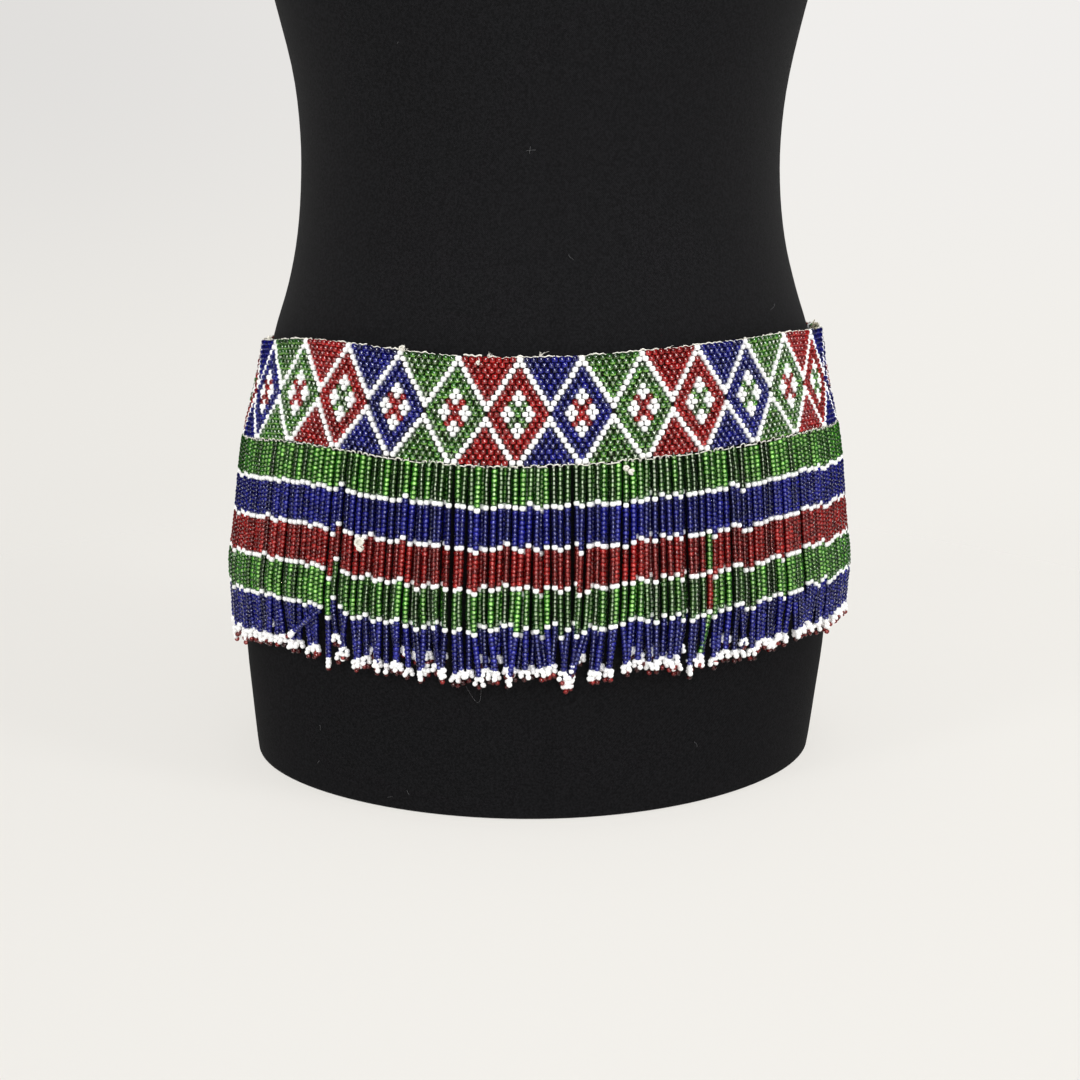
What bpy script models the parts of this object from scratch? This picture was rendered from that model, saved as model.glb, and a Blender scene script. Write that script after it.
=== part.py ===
"""A beaded hip belt with a bead fringe, worn on a limbless dress form.

Run it with: blender --background --python part.py
Metres, +Z up. The form stands on z = 0 with its centre line on the Z axis and faces -Y,
so its left hip is on +X. The belt lies round the hips and is tied at the centre back.
"""

from math import cos, degrees, pi, sin
from random import Random

import bmesh
import bpy
import numpy as np
from mathutils import Vector

# ---- driving dimensions, metres ----

BEADS_PER_REPEAT = 9  # bead columns in one diamond of the band's pattern
REPEATS = 27  # diamonds along the whole belt
BEAD_PITCH = 0.00362  # from one bead column to the next, along the middle of the band
BELT_LENGTH = REPEATS * BEADS_PER_REPEAT * BEAD_PITCH

BAND_TOP = 0.2563  # heights at the centre front
BAND_BOTTOM = 0.2015
BAND_THICKNESS = 0.0030
BAND_COLUMNS = 85
BAND_ROWS = 4
BELT_SHIFT = 0.0023  # the belt lies this far off the form's centre line, towards +X
SEAM_GAP = 0.0003  # between pieces that are sewn edge to edge

STRAND_WIDTH = 0.0026
HEADER_HEIGHT = 0.0022
STRAND_BEND = 0.0550  # below the band, where the strands leave the slope of the hips
CLUSTER_TOP = 0.1065  # below the band: the bead loop that ends each strand
CLUSTER_MIDDLE = 0.1120
STRAND_END = 0.1170
CLUSTER_WIDTH = 0.0033
STRAND_SWAY = 0.0004  # how far a strand's end hangs out of line along the belt
STRAND_UNEVEN = 0.0020  # how far the strands differ in length, either way
FRINGE_SEED = 9

TIE_DIAMETER = 0.0018
TIE_HEIGHTS = {"tie_upper": 0.2460, "tie_lower": 0.2130}
KNOT_SIZE = (0.0072, 0.0046, 0.0058)
KNOT_STAND_OFF = 0.0012  # the knot and tails lie this far outside the beadwork's middle
TIE_TAIL = 0.0300
TIE_SPREAD = 0.0085  # how far each tail's end hangs from the centre line

FORM_AROUND = 40
FORM_STEPS = 30  # rings up the form
BASE_EDGE = 0.0025  # rounding of the form's bottom edge

# The form's level sections: height, half width, depth to the front, depth to the back, and
# how far the section lies off the centre line, towards +X.
FORM_SECTIONS = (
    (0.000, 0.1726, 0.1200, 0.1210, -0.0006),
    (0.035, 0.1754, 0.1218, 0.1236, -0.0003),
    (0.070, 0.1779, 0.1234, 0.1264, 0.0001),
    (0.105, 0.1781, 0.1242, 0.1284, 0.0004),
    (0.140, 0.1763, 0.1238, 0.1288, 0.0003),
    (0.175, 0.1724, 0.1224, 0.1272, 0.0006),
    (0.205, 0.1672, 0.1203, 0.1236, 0.0008),
    (0.232, 0.1613, 0.1180, 0.1192, 0.0008),
    (0.257, 0.1560, 0.1156, 0.1144, 0.0015),
    (0.283, 0.1473, 0.1104, 0.1082, 0.0011),
    (0.309, 0.1407, 0.1056, 0.1032, 0.0001),
    (0.337, 0.1370, 0.1026, 0.1002, -0.0007),
    (0.366, 0.1361, 0.1014, 0.0990, -0.0011),
    (0.398, 0.1389, 0.1022, 0.1002, -0.0014),
    (0.437, 0.1473, 0.1056, 0.1042, -0.0021),
    (0.480, 0.1575, 0.1108, 0.1090, -0.0019),
    (0.530, 0.1668, 0.1158, 0.1134, -0.0015),
    (0.580, 0.1720, 0.1178, 0.1158, -0.0009),
    (0.625, 0.1718, 0.1140, 0.1140, -0.0008),
    (0.657, 0.1648, 0.1058, 0.1088, -0.0004),
    (0.683, 0.1508, 0.0954, 0.1008, 0.0000),
    (0.704, 0.1300, 0.0850, 0.0918, 0.0000),
    (0.722, 0.1050, 0.0758, 0.0828, 0.0000),
    (0.738, 0.0830, 0.0684, 0.0746, 0.0000),
    (0.755, 0.0688, 0.0628, 0.0680, 0.0000),
    (0.776, 0.0618, 0.0590, 0.0632, 0.0000),
    (0.798, 0.0592, 0.0574, 0.0606, 0.0000),
    (0.808, 0.0560, 0.0545, 0.0575, 0.0000),
)
OVAL_TAPER = 0.076  # how much flatter than an ellipse the sections are between front and side
NECK_TOP = 0.8110
NECK_EDGE = 0.0080  # rounding of the neck's top edge

# The beadwork's middle surface: height, half width, depth to the front, depth to the back.
BELT_SECTIONS = (
    (0.070, 0.1862, 0.1325, 0.1355),
    (0.100, 0.1862, 0.1325, 0.1355),
    (0.123, 0.1868, 0.1322, 0.1350),
    (0.146, 0.1832, 0.1308, 0.1338),
    (0.186, 0.1778, 0.1278, 0.1310),
    (0.208, 0.1733, 0.1251, 0.1276),
    (0.235, 0.1662, 0.1230, 0.1232),
    (0.262, 0.1609, 0.1208, 0.1180),
)

# How far the belt rides above or below its height at the centre front: degrees round from
# there towards +X, and the rise.
BELT_RISES = (
    (-180, -0.0022),
    (-135, -0.0054),
    (-100, -0.0066),
    (-78, -0.0036),
    (-56, 0.0019),
    (-42, 0.0020),
    (-20, -0.0009),
    (0, 0.0000),
    (25, 0.0042),
    (50, 0.0070),
    (72, 0.0052),
    (100, 0.0030),
    (135, 0.0006),
    (180, -0.0022),
)


# ---- sections and directions ----


def smooth_rows(rows, steps):
    """Rows along the smooth curve through a table's rows, evenly spaced by row."""
    table = np.array(rows)
    slopes = np.gradient(table, axis=0)
    found = []
    for place in np.linspace(0, len(table) - 1, steps):
        k = min(int(place), len(table) - 2)
        t = place - k
        found.append(
            (2 * t**3 - 3 * t**2 + 1) * table[k]
            + (t**3 - 2 * t**2 + t) * slopes[k]
            + (3 * t**2 - 2 * t**3) * table[k + 1]
            + (t**3 - t**2) * slopes[k + 1]
        )
    return np.array(found)


def oval(half_width, front, back, angle):
    """A point of a level section; the angle runs from the centre front towards +X."""
    depth = (front if cos(angle) > 0 else back) * (1 - OVAL_TAPER * sin(angle) ** 2)
    return Vector((half_width * sin(angle), -depth * cos(angle), 0))


FINE_BELT = smooth_rows(BELT_SECTIONS, 241).T
FINE_RISES = smooth_rows(BELT_RISES, 241).T


def belt_height(angle, height):
    """The height that a line of the belt has at this angle, from the one at the centre front."""
    return height + float(np.interp(degrees(angle), *FINE_RISES))


def belt_sizes(angle, height):
    """The sizes of the section that the beadwork follows there."""
    return [np.interp(belt_height(angle, height), FINE_BELT[0], column) for column in FINE_BELT[1:]]


def outward_at(angle, height):
    """The level direction straight out of the beadwork."""
    sizes = belt_sizes(angle, height)
    step = 0.001
    along = oval(*sizes, angle + step) - oval(*sizes, angle - step)
    return Vector((along.y, -along.x, 0)).normalized()


def belt_point(angle, height, outward=0.0):
    """A point of the beadwork's middle surface, moved outward level with the floor."""
    point = oval(*belt_sizes(angle, height), angle) + outward * outward_at(angle, height)
    return point + Vector((BELT_SHIFT, 0, belt_height(angle, height)))


def angles_along_band():
    """Angles and the arc lengths they stand at, along the middle of the band."""
    angles = np.linspace(-pi, pi, 1441)
    height = (BAND_TOP + BAND_BOTTOM) / 2
    points = np.array([belt_point(a, height) for a in angles])
    lengths = np.concatenate([[0], np.cumsum(np.linalg.norm(np.diff(points, axis=0), axis=1))])
    return angles, lengths - np.interp(0, angles, lengths)


ANGLES, ARC_LENGTHS = angles_along_band()


def angle_at(arc):
    """The angle at an arc length from the centre front, along the middle of the band."""
    return float(np.interp(arc, ARC_LENGTHS, ANGLES))


# ---- meshes ----


def material(name, colour, roughness, metallic=0.0):
    made = bpy.data.materials.new(name)
    made.use_nodes = True
    shader = made.node_tree.nodes["Principled BSDF"]
    shader.inputs["Base Color"].default_value = (*colour, 1)
    shader.inputs["Roughness"].default_value = roughness
    shader.inputs["Metallic"].default_value = metallic
    return made


def finish(mesh_data, name, surface, sharp_angle=0.7):
    """An object from a bmesh, its faces out, smooth but for its edges."""
    bmesh.ops.recalc_face_normals(mesh_data, faces=mesh_data.faces)
    mesh = bpy.data.meshes.new(name)
    mesh_data.to_mesh(mesh)
    mesh_data.free()
    mesh.shade_smooth()
    mesh.set_sharp_from_angle(angle=sharp_angle)
    mesh.materials.append(surface)
    made = bpy.data.objects.new(name, mesh)
    bpy.context.scene.collection.objects.link(made)
    return made


def loft(shape, rings):
    """Closed rings of points joined by quads, with a face over each end."""
    made = [[shape.verts.new(point) for point in ring] for ring in rings]
    for lower, upper in zip(made, made[1:]):
        for k in range(len(lower)):
            following = (k + 1) % len(lower)
            shape.faces.new((lower[k], lower[following], upper[following], upper[k]))
    shape.faces.new(reversed(made[0]))
    shape.faces.new(made[-1])


def make_dress_form():
    rows = smooth_rows(FORM_SECTIONS, FORM_STEPS)
    rows[0][0] = BASE_EDGE
    foot = [0, *(rows[0][1:4] - BASE_EDGE), rows[0][4]]
    top = [NECK_TOP, *(rows[-1][1:4] - NECK_EDGE), rows[-1][4]]
    angles = [2 * pi * k / FORM_AROUND for k in range(FORM_AROUND)]
    rings = []
    for height, half_width, front, back, shift in [foot, *rows, top]:
        centre = Vector((shift, 0, height))
        rings.append([centre + oval(half_width, front, back, angle) for angle in angles])
    shape = bmesh.new()
    loft(shape, rings)
    jersey = material("black_jersey", (0.012, 0.012, 0.013), 0.85)
    return finish(shape, "dress_form", jersey)


def make_belt_band():
    """The band: a wall that follows the beadwork's middle surface, open at the back."""
    heights = np.linspace(BAND_TOP, BAND_BOTTOM, BAND_ROWS)
    half = BAND_THICKNESS / 2
    rings = []
    for arc in np.linspace(-BELT_LENGTH / 2, BELT_LENGTH / 2, BAND_COLUMNS):
        angle = angle_at(arc)
        outer = [belt_point(angle, height, half) for height in heights]
        inner = [belt_point(angle, height, -half) for height in heights]
        rings.append(outer + inner[::-1])
    shape = bmesh.new()
    loft(shape, rings)
    glass = material("glass_beads", (0.10, 0.10, 0.22), 0.25)
    return finish(shape, "belt_band", glass)


def strand_levels(random):
    """A strand below its root: drop under the band, half width, sway along the belt."""
    sway = random.uniform(-STRAND_SWAY, STRAND_SWAY)
    longer = random.uniform(-STRAND_UNEVEN, STRAND_UNEVEN)
    half = STRAND_WIDTH / 2
    return (
        (STRAND_BEND, half, 0.4 * sway),
        (CLUSTER_TOP + longer, half, sway),
        (CLUSTER_MIDDLE + longer, CLUSTER_WIDTH / 2, sway),
        (STRAND_END + longer, 0.5 * half, sway),
    )


def hang_strand(shape, root, arc, levels):
    """Rings of four points down one strand, from its root in the header strip."""
    angle = angle_at(arc)
    rings = [root]
    for drop, half, sway in levels:
        height = BAND_BOTTOM - drop
        out = outward_at(angle, height)
        along = Vector((-out.y, out.x, 0))
        centre = belt_point(angle, height) + sway * along
        corners = ((-half, half), (half, half), (half, -half), (-half, -half))
        rings.append([shape.verts.new(centre + u * along + v * out) for u, v in corners])
    for above, below in zip(rings, rings[1:]):
        for k in range(4):
            following = (k + 1) % 4
            shape.faces.new((above[k], above[following], below[following], below[k]))
    shape.faces.new(rings[-1])


def make_belt_fringe():
    """A narrow header strip with one four-sided strand under each bead column."""
    random = Random(FRINGE_SEED)
    count = REPEATS * BEADS_PER_REPEAT
    top = BAND_BOTTOM - SEAM_GAP
    root = top - HEADER_HEIGHT
    space = (BEAD_PITCH - STRAND_WIDTH) / 2
    shape = bmesh.new()

    def across(arc, height):
        """The strip's outer and inner point at one place along it."""
        sides = (STRAND_WIDTH / 2, -STRAND_WIDTH / 2)
        return [shape.verts.new(belt_point(angle_at(arc), height, side)) for side in sides]

    bounds = [k * BEAD_PITCH - BELT_LENGTH / 2 for k in range(count + 1)]
    upper = [across(arc, top) for arc in bounds]
    lower = [across(bounds[0], root)]
    for start, end in zip(bounds, bounds[1:]):
        lower += [across(start + space, root), across(end - space, root)]
    lower.append(across(bounds[-1], root))

    for k in range(count):
        last = 2 * k + (4 if k == count - 1 else 3)
        edge = [upper[k], *lower[2 * k : last], upper[k + 1]]
        shape.faces.new([point[0] for point in edge])
        shape.faces.new([point[1] for point in edge])
        shape.faces.new((*upper[k], *reversed(upper[k + 1])))
        shape.faces.new((*lower[2 * k], *reversed(lower[2 * k + 1])))
        left, right = lower[2 * k + 1], lower[2 * k + 2]
        middle = (bounds[k] + bounds[k + 1]) / 2
        hang_strand(shape, [left[0], right[0], right[1], left[1]], middle, strand_levels(random))
    shape.faces.new((*lower[-2], *reversed(lower[-1])))
    shape.faces.new((*upper[0], *reversed(lower[0])))
    shape.faces.new((*upper[-1], *reversed(lower[-1])))
    glass = material("glass_bead_fringe", (0.05, 0.08, 0.16), 0.25)
    return finish(shape, "belt_fringe", glass)


def tube(shape, points, radius, sides=8):
    """A closed round tube along a few points."""
    turns = [2 * pi * n / sides for n in range(sides)]
    rings = []
    for k, point in enumerate(points):
        ahead = points[min(k + 1, len(points) - 1)] - points[max(k - 1, 0)]
        facing = ahead.to_track_quat("Z", "Y")
        rings.append([point + facing @ Vector((radius * cos(a), radius * sin(a), 0)) for a in turns])
    loft(shape, rings)


def knot_place(height):
    """The middle of a tie's knot, at the centre back."""
    return belt_point(pi, height, KNOT_STAND_OFF)


def tie_route(height, side):
    """One cord of a tie: from the band's end to the knot, and down in a short tail."""
    start = angle_at(side * (BELT_LENGTH / 2 + SEAM_GAP))
    taut = [belt_point(start + (side * pi - start) * t, height) for t in (0, 0.25, 0.5, 0.75)]
    tail = []
    for t in (0.25, 0.5, 0.75, 1.0):
        point = knot_place(height - TIE_TAIL * t)
        point.x -= side * TIE_SPREAD * t**0.7
        tail.append(point)
    return [*taut, knot_place(height), *tail]


def make_tie(name, height, surface):
    """Two cords from the band's ends, joined at a knot at the centre back."""
    parts = []
    for side in (-1, 1):
        shape = bmesh.new()
        tube(shape, tie_route(height, side), TIE_DIAMETER / 2)
        parts.append(finish(shape, f"{name}_cord", surface))
    shape = bmesh.new()
    bmesh.ops.create_uvsphere(shape, u_segments=12, v_segments=8, radius=0.5)
    bmesh.ops.scale(shape, vec=KNOT_SIZE, verts=shape.verts)
    bmesh.ops.translate(shape, vec=knot_place(height), verts=shape.verts)
    tie = finish(shape, name, surface)
    for part in parts:
        joined = tie.modifiers.new("cord", "BOOLEAN")
        joined.operation = "UNION"
        joined.object = part
        part.hide_render = True
        part.display_type = "WIRE"
    return tie


def main():
    for left_over in list(bpy.data.objects):
        bpy.data.objects.remove(left_over)
    make_dress_form()
    make_belt_band()
    make_belt_fringe()
    cotton = material("cotton_cord", (0.72, 0.66, 0.54), 0.9)
    for name, height in TIE_HEIGHTS.items():
        make_tie(name, height, cotton)


main()
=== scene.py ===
"""The looks of a beaded hip belt with a bead fringe, worn on a black jersey dress form.

Metres, +Z up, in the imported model's frame: the form stands on z = 0 and faces -Y. The solids
stay as they are. Beads, threads, cords and the form's smooth skin are built here in their
place, on the same sections as the solids follow.
"""

from dataclasses import dataclass

import bpy
import numpy as np
from mathutils import Matrix, Vector


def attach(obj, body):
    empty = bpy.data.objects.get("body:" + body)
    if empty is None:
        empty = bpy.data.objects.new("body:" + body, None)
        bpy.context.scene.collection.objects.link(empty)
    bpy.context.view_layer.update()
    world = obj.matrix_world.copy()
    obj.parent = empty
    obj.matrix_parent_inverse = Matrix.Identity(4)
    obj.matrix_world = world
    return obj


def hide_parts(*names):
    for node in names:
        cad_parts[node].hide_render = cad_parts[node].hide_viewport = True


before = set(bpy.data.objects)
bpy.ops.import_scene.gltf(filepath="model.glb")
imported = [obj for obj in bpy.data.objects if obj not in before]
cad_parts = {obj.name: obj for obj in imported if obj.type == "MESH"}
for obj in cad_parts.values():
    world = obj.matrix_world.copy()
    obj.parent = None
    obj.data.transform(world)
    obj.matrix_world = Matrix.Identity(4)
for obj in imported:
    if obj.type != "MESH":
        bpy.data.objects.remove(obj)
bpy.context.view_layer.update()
BODY = "root"

# ---- the belt's driving dimensions, as the solids have them ----

BEADS_PER_REPEAT = 9  # bead columns in one diamond of the band's pattern
REPEATS = 27
COLUMNS = REPEATS * BEADS_PER_REPEAT
BEAD_PITCH = 0.00362
BELT_LENGTH = COLUMNS * BEAD_PITCH
BAND_TOP = 0.2563
BAND_BOTTOM = 0.2015
BELT_SHIFT = 0.0023
SEAM_GAP = 0.0003
OVAL_TAPER = 0.076
TIE_DIAMETER = 0.0018
TIE_HEIGHTS = {"tie_upper": 0.2460, "tie_lower": 0.2130}
KNOT_STAND_OFF = 0.0012
TIE_TAIL = 0.0300
TIE_SPREAD = 0.0085
BASE_EDGE = 0.0025
NECK_TOP = 0.8110
NECK_EDGE = 0.0080

# The form's level sections: height, half width, depth to the front, depth to the back, and
# how far the section lies off the centre line, towards +X.
FORM_SECTIONS = (
    (0.000, 0.1726, 0.1200, 0.1210, -0.0006),
    (0.035, 0.1754, 0.1218, 0.1236, -0.0003),
    (0.070, 0.1779, 0.1234, 0.1264, 0.0001),
    (0.105, 0.1781, 0.1242, 0.1284, 0.0004),
    (0.140, 0.1763, 0.1238, 0.1288, 0.0003),
    (0.175, 0.1724, 0.1224, 0.1272, 0.0006),
    (0.205, 0.1672, 0.1203, 0.1236, 0.0008),
    (0.232, 0.1613, 0.1180, 0.1192, 0.0008),
    (0.257, 0.1560, 0.1156, 0.1144, 0.0015),
    (0.283, 0.1473, 0.1104, 0.1082, 0.0011),
    (0.309, 0.1407, 0.1056, 0.1032, 0.0001),
    (0.337, 0.1370, 0.1026, 0.1002, -0.0007),
    (0.366, 0.1361, 0.1014, 0.0990, -0.0011),
    (0.398, 0.1389, 0.1022, 0.1002, -0.0014),
    (0.437, 0.1473, 0.1056, 0.1042, -0.0021),
    (0.480, 0.1575, 0.1108, 0.1090, -0.0019),
    (0.530, 0.1668, 0.1158, 0.1134, -0.0015),
    (0.580, 0.1720, 0.1178, 0.1158, -0.0009),
    (0.625, 0.1718, 0.1140, 0.1140, -0.0008),
    (0.657, 0.1648, 0.1058, 0.1088, -0.0004),
    (0.683, 0.1508, 0.0954, 0.1008, 0.0000),
    (0.704, 0.1300, 0.0850, 0.0918, 0.0000),
    (0.722, 0.1050, 0.0758, 0.0828, 0.0000),
    (0.738, 0.0830, 0.0684, 0.0746, 0.0000),
    (0.755, 0.0688, 0.0628, 0.0680, 0.0000),
    (0.776, 0.0618, 0.0590, 0.0632, 0.0000),
    (0.798, 0.0592, 0.0574, 0.0606, 0.0000),
    (0.808, 0.0560, 0.0545, 0.0575, 0.0000),
)

# The beadwork's middle surface: height, half width, depth to the front, depth to the back.
BELT_SECTIONS = (
    (0.070, 0.1862, 0.1325, 0.1355),
    (0.100, 0.1862, 0.1325, 0.1355),
    (0.123, 0.1868, 0.1322, 0.1350),
    (0.146, 0.1832, 0.1308, 0.1338),
    (0.186, 0.1778, 0.1278, 0.1310),
    (0.208, 0.1733, 0.1251, 0.1276),
    (0.235, 0.1662, 0.1230, 0.1232),
    (0.262, 0.1609, 0.1208, 0.1180),
)

# How far the belt rides above or below its height at the centre front: degrees round from
# there towards +X, and the rise.
BELT_RISES = (
    (-180, -0.0022),
    (-135, -0.0054),
    (-100, -0.0066),
    (-78, -0.0036),
    (-56, 0.0019),
    (-42, 0.0020),
    (-20, -0.0009),
    (0, 0.0000),
    (25, 0.0042),
    (50, 0.0070),
    (72, 0.0052),
    (100, 0.0030),
    (135, 0.0006),
    (180, -0.0022),
)

# ---- what is added here ----

BEAD_ROWS = 20
ROW_PITCH = (BAND_TOP - BAND_BOTTOM) / BEAD_ROWS
BAND_BEAD_RADIUS = 0.00178
BAND_WHITE_RADIUS = 0.00168
BAND_BEAD_HALF = 0.00136
WHITE_TONES = (0.95, 1.05)
BAND_TONES = {"blue": (0.7, 1.7), "green": (0.8, 2.0), "red": (0.9, 1.4), "white": WHITE_TONES}
BEAD_STRAYS = 0.00012  # how far the band's beads lie off their places, along and outward
BEAD_RISES = 0.00010
BEAD_TILTS = 0.14
BAND_SPREAD = (0.04, 0.03)  # of a bead's radius and of its length, as shares
STRAND_SPREAD = (0.03, 0.02)
STRAND_TILTS = 0.05
BLUE_DIAMOND = 0.0070  # along the band from the centre front to the nearest blue diamond
STRAND_BEAD_RADIUS = 0.00182
STRAND_BEAD_LENGTH = 0.00237
STRAND_WHITE_LENGTH = 0.00289
STRAND_WHITE_RADIUS = 0.00164
CORE_RADIUS = 0.00060  # a thread in a bead's hole, as wide as the glass makes it look
FORK_MIDDLE = 0.00078  # two threads side by side in a band bead's hole, parting above it
FORK_ENDS = 0.00036
FORK_REACH = (0.25, 0.50)
FORK_LOW = (0.2, 0.8)  # of a bead's half length: how far down its hole the threads reach
FORK_SPREAD = (0.7, 1.3)
CORNER_GAP = 0.00045  # how far the net opens where two diamonds meet
CORNER_BEADS_LESS = 0.2  # of their radius
HALF_STEP = BEAD_PITCH / 2
UP = (0, 0, 1.0)
SIDEWAYS = (1.0, 0.2, 0)
STEEP = 0.8  # rise for each length, from which a tube counts as upright
STRAND_SEED = 21
BAND_SEED = 5
BAND_TURNS_SEED = 0  # and one more for each colour: how beads are turned round their holes
STRAND_TURNS_SEED = 10

# ---- the belt's surface ----


def smooth_rows(rows, steps):
    """Rows along the smooth curve through a table's rows, evenly spaced by row."""
    table = np.array(rows)
    slopes = np.gradient(table, axis=0)
    place = np.linspace(0, len(table) - 1, steps)
    k = np.minimum(place.astype(int), len(table) - 2)
    t = (place - k)[:, None]
    return (
        (2 * t**3 - 3 * t**2 + 1) * table[k]
        + (t**3 - 2 * t**2 + t) * slopes[k]
        + (3 * t**2 - 2 * t**3) * table[k + 1]
        + (t**3 - t**2) * slopes[k + 1]
    )


def oval(half_width, front, back, angles):
    """Level points of a section; an angle runs from the centre front towards +X."""
    depth = np.where(np.cos(angles) > 0, front, back) * (1 - OVAL_TAPER * np.sin(angles) ** 2)
    return np.stack([half_width * np.sin(angles), -depth * np.cos(angles)], axis=-1)


FINE_STEPS = 241
ARC_STEPS = 1441
FINE_BELT = smooth_rows(BELT_SECTIONS, FINE_STEPS).T
FINE_RISES = smooth_rows(BELT_RISES, FINE_STEPS).T


def belt_frame(angles, heights):
    """Points of the beadwork's middle surface, and the level directions out of it."""
    angles, heights = np.broadcast_arrays(angles, heights)
    raised = heights + np.interp(np.degrees(angles), *FINE_RISES)
    sizes = [np.interp(raised, FINE_BELT[0], column) for column in FINE_BELT[1:]]
    step = 0.001
    along = oval(*sizes, angles + step) - oval(*sizes, angles - step)
    out = np.stack([along[..., 1], -along[..., 0], np.zeros_like(raised)], axis=-1)
    out /= np.linalg.norm(out, axis=-1, keepdims=True)
    level = oval(*sizes, angles) + (BELT_SHIFT, 0)
    return np.concatenate([level, raised[..., None]], axis=-1), out


def belt_points(angles, heights, outward=0.0):
    """Points of the beadwork's middle surface, moved outward level with the floor."""
    points, out = belt_frame(angles, heights)
    return points + np.asarray(outward)[..., None] * out


def lengths_along(points):
    """How far along a path each of its points lies."""
    return np.concatenate([[0], np.cumsum(np.linalg.norm(np.diff(points, axis=0), axis=1))])


def angles_along_band():
    """Angles and the arc lengths they stand at, along the middle of the band."""
    angles = np.linspace(-np.pi, np.pi, ARC_STEPS)
    lengths = lengths_along(belt_points(angles, (BAND_TOP + BAND_BOTTOM) / 2))
    return angles, lengths - np.interp(0, angles, lengths)


ANGLES, ARC_LENGTHS = angles_along_band()


def angle_at(arc):
    """The angle at an arc length from the centre front, along the middle of the band."""
    return np.interp(arc, ARC_LENGTHS, ANGLES)


# ---- meshes ----


def make_object(name, points, faces, material):
    """A smooth-shaded object from its points and faces."""
    mesh = bpy.data.meshes.new(name)
    mesh.from_pydata(points, [], faces)
    mesh.shade_smooth()
    mesh.materials.append(material)
    made = bpy.data.objects.new(name, mesh)
    bpy.context.scene.collection.objects.link(made)
    return made


def make_piece(name, points, faces, material, replaces):
    """A piece of the belt or the form, which rides on the one body."""
    piece = make_object(name, points, faces, material)
    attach(piece, BODY)
    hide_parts(replaces)
    return piece


def add_attribute(piece, name, values):
    """A number for each point of a piece, which its material reads."""
    made = piece.data.attributes.new(name, "FLOAT", "POINT")
    made.data.foreach_set("value", np.asarray(values, dtype=np.float32))


def unit(vectors):
    return vectors / np.linalg.norm(vectors, axis=-1, keepdims=True)


def full_turn(steps):
    """Even angles once round."""
    return np.linspace(0, 2 * np.pi, steps, endpoint=False)


def turned(angle, across, other):
    """The direction at an angle from one of two crossed directions towards the other."""
    return np.cos(angle) * across + np.sin(angle) * other


def loft_faces(rings, around):
    """Faces between rings of points, numbered ring by ring, and then over each end."""
    faces = []
    for r in range(rings - 1):
        for k in range(around):
            n = (k + 1) % around
            low = r * around
            faces.append((low + k, low + n, low + around + n, low + around + k))
    faces.append(tuple(reversed(range(around))))
    faces.append(tuple(range((rings - 1) * around, rings * around)))
    return faces


# A bead's outline from one end to the other: along its hole and out from it, each as a share
# of its half length and of its radius. The band has square beads. Down the fringe the
# coloured ones are round, and the white and end ones are like pebbles.
SQUARE_BEAD = ((-1.0, 0.62), (-0.55, 0.99), (0.55, 0.99), (1.0, 0.62))
ROUND_BEAD = ((-1.0, 0.86), (0.0, 1.0), (1.0, 0.86))
PEBBLE_BEAD = ((-1.0, 0.56), (-0.48, 1.0), (0.48, 1.0), (1.0, 0.56))


class Beads:
    """Beads gathered for one joined mesh."""

    def __init__(self):
        self.rows = []

    def add(self, centre, axis, radius, half, tone):
        self.rows.append((centre, axis, radius, half, tone))

    def build(self, name, outline, sides, material, slot, replaces, seed):
        """One mesh of all the beads, each turned round its hole by chance."""
        random = np.random.default_rng(seed)
        centres, axes, radii, halves, tones = (np.array(column) for column in zip(*self.rows))
        axes = unit(axes)
        across = unit(np.cross(axes, random.normal(size=axes.shape)))
        other = np.cross(axes, across)
        radii, halves = radii[:, None], halves[:, None]
        rings = []
        for along, out in outline:
            for angle in full_turn(sides):
                sideways = turned(angle, across, other)
                rings.append(centres + radii * out * sideways + halves * along * axes)
        points = np.stack(rings, axis=1)
        own = loft_faces(len(outline), sides)
        each = points.shape[1]
        starts = (np.arange(len(points)) * each)[:, None, None]
        quads = (np.array(own[:-2]) + starts).reshape(-1, 4)
        caps = (np.array(own[-2:]) + starts).reshape(-1, sides)
        faces = quads.tolist() + caps.tolist()
        piece = make_piece(name, points.reshape(-1, 3), faces, material, replaces)
        add_attribute(piece, "tone", np.repeat(tones, each))
        return piece


# How the beads of the band and of the fringe are cut: outline and sides.
BAND_SHAPES = {"white": (SQUARE_BEAD, 8), "other": (SQUARE_BEAD, 6)}
STRAND_SHAPES = {"white": (PEBBLE_BEAD, 6), "tip": (PEBBLE_BEAD, 6), "other": (ROUND_BEAD, 6)}


def join_beads(beads, part, shapes, surfaces, seed):
    """One piece of each colour's beads, for the band or the fringe."""
    made = []
    for n, (colour, group) in enumerate(beads.items(), seed):
        shape = shapes.get(colour, shapes["other"])
        slot = "red_beads" if colour == "tip" else f"{colour}_beads"
        name = f"{part}_{colour}_beads"
        made.append(group.build(name, *shape, surfaces[colour], slot, f"belt_{part}", n))
    return made


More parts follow.
